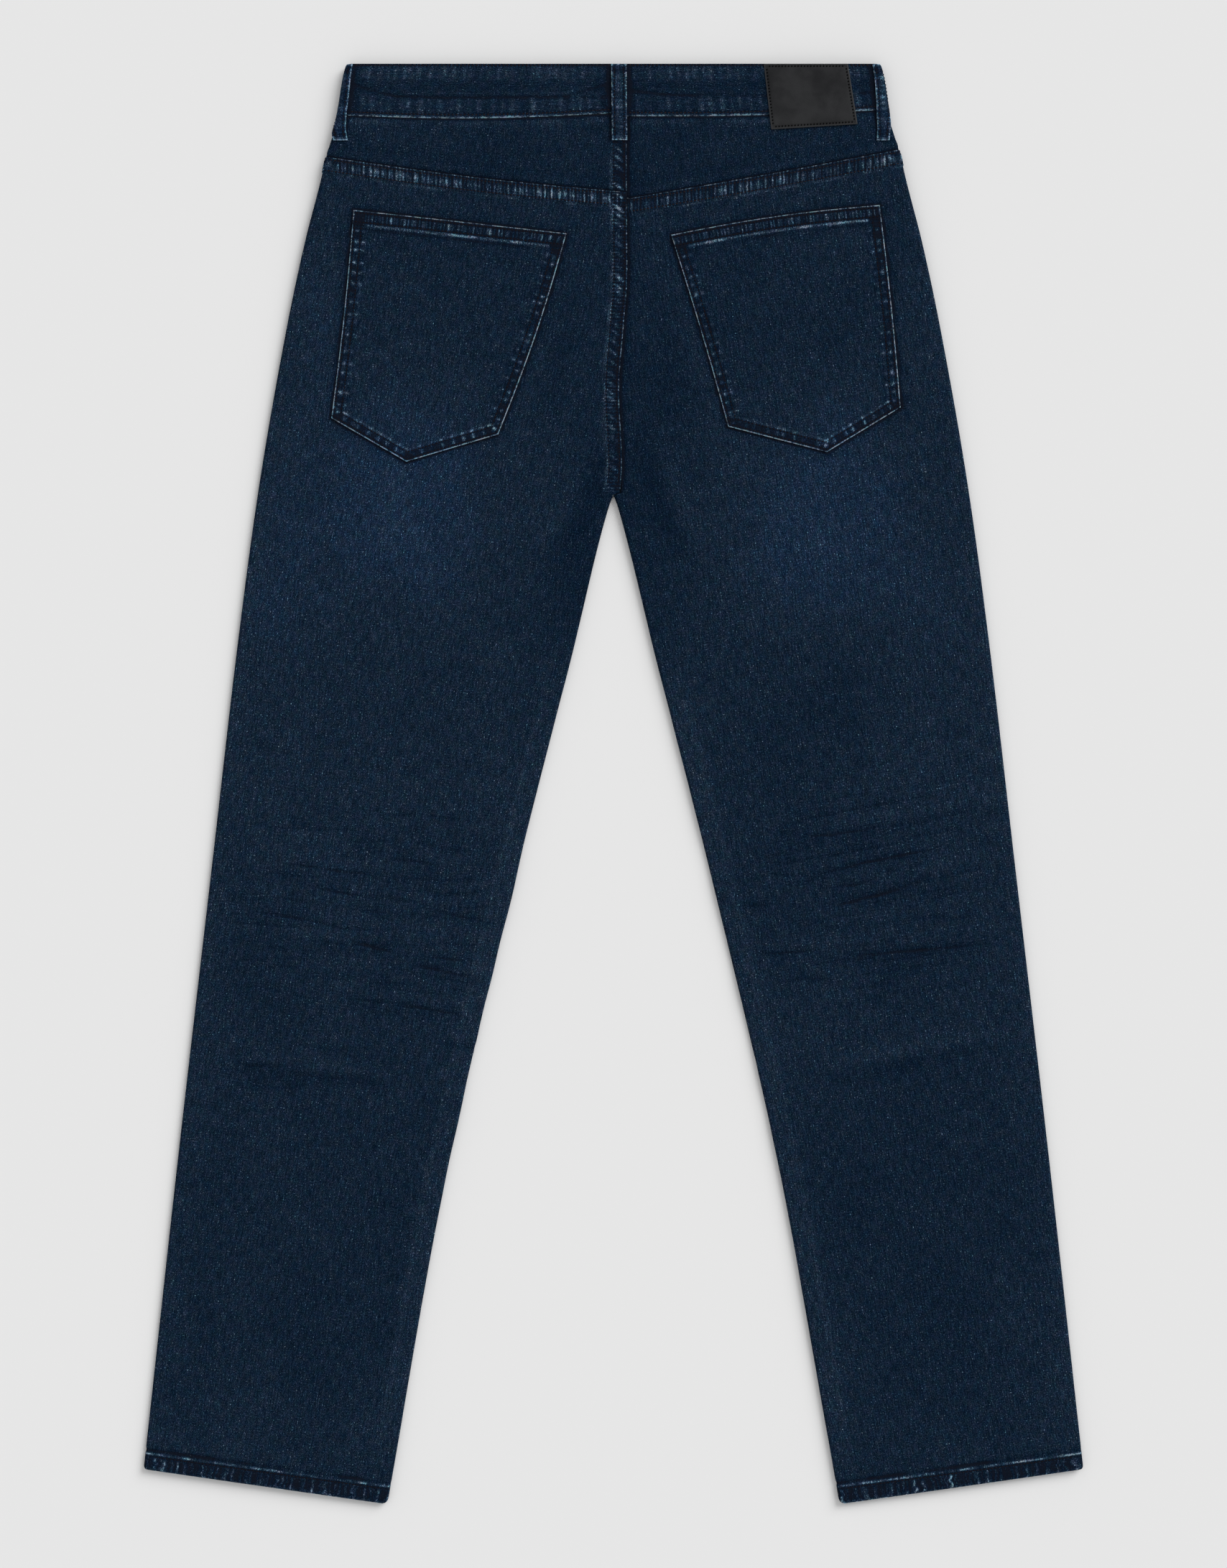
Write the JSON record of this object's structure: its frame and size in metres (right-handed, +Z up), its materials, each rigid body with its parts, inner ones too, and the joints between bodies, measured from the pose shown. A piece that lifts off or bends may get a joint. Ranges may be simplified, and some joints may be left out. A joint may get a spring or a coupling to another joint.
{
  "type": "straight leg jeans",
  "caption": "Straight leg denim jeans laid flat with the back upwards, with yokes, patch pockets, belt loops, a leather patch on the waistband and hemmed legs",
  "frame": {"origin": "on the surface that the garment lies on, under the middle of its length and width", "axes": "X runs across the garment towards the wearer's right side, Y runs towards the waist, and Z points up, away from the surface and out of the garment's back"},
  "size_m": [0.741, 1.134, 0.0109],
  "materials": {
    "denim": "dark indigo cotton twill, rinsed, with light wear on its edges",
    "leather": "black leather patch, satin, bare",
    "button_metal": "aged silver-coloured metal",
    "zip_tape": "dark woven tape with a metal coil"
  },
  "bodies": {
    "root": {"back_left": "denim", "back_right": "denim", "yoke_left": "denim", "yoke_right": "denim", "front_left": "denim", "front_right": "denim", "waistband": "denim", "pocket_left": "denim", "pocket_right": "denim", "loop_back": "denim", "loop_side_left": "denim", "loop_side_right": "denim", "loop_front_left": "denim", "loop_front_right": "denim", "patch": "leather", "button": "button_metal", "zip": "zip_tape"}
  },
  "joints": []
}
